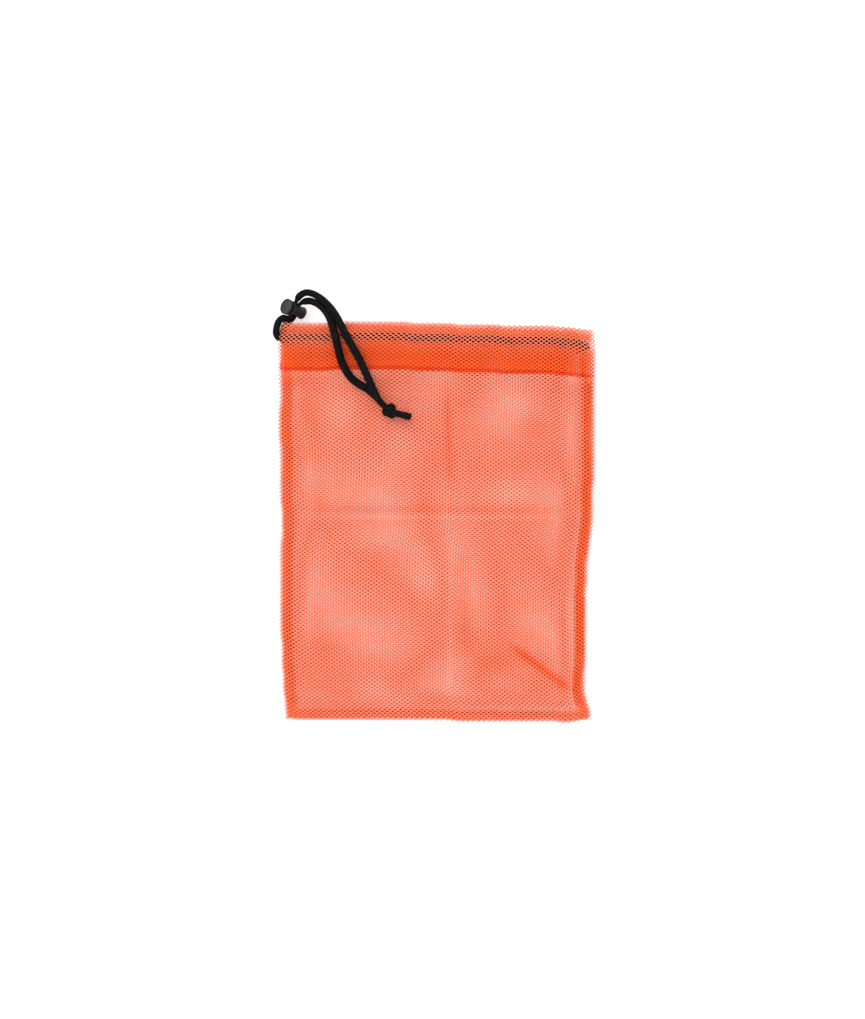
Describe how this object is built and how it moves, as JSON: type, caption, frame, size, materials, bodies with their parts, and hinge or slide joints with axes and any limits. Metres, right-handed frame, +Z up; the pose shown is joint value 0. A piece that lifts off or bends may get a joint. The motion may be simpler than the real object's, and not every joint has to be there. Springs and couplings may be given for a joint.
{
  "type": "mesh drawstring laundry bag",
  "caption": "Flat mesh laundry bag with seamed sides, a drawcord in a stitched casing round the mouth, a spring cord lock and a knotted cord end.",
  "frame": {"origin": "on the floor under the middle of the flat bag, cord and lock left out", "axes": "+Y from the bottom seam towards the mouth, +X from the side with the cord exit to the other side, +Z up through the front panel"},
  "size_m": [0.2254, 0.3044, 0.0229],
  "materials": {
    "mesh": "orange polyester warp-knit mesh with diamond holes",
    "thread": "orange polyester sewing thread",
    "cord": "black braided polyester cord",
    "lock_plastic": "black moulded plastic with a fine satin grain",
    "spring_steel": "bright spring wire"
  },
  "bodies": {
    "bag": {"back_panel": "mesh", "front_panel": "mesh", "back_casing_hem": "mesh", "front_casing_hem": "mesh", "left_seam_allowance": "mesh", "right_seam_allowance": "mesh", "bottom_seam_allowance": "mesh", "left_seam_overlock": "thread", "right_seam_overlock": "thread", "bottom_seam_overlock": "thread", "front_casing_stitching": "thread", "back_casing_stitching": "thread", "cord_exit_bartack": "thread", "drawcord_casing_run": "cord", "drawcord_strand_front": "cord", "drawcord_strand_back": "cord", "drawcord_knot": "cord", "drawcord_tail_front": "cord", "drawcord_tail_back": "cord"},
    "cord_lock": {"cord_lock_barrel": "lock_plastic", "cord_lock_spring": "spring_steel"},
    "lock_button": {"cord_lock_plunger": "lock_plastic"}
  },
  "joints": [
    {"name": "lock_slide", "type": "hinge", "parent": "bag", "child": "cord_lock", "pos_m": [-0.087, 0.1445, 0.0092], "axis": [0, 0, 1], "range_deg": [-55, 5], "deforming": ["drawcord_strand_front", "drawcord_strand_back"]},
    {"name": "button_press", "type": "slide", "parent": "cord_lock", "child": "lock_button", "axis": [0.6645, -0.2418, -0.7071], "range_m": [0, 0.002], "stiffness_N_per_m": 400, "springref_m": -0.001, "deforming": ["cord_lock_spring"]}
  ]
}
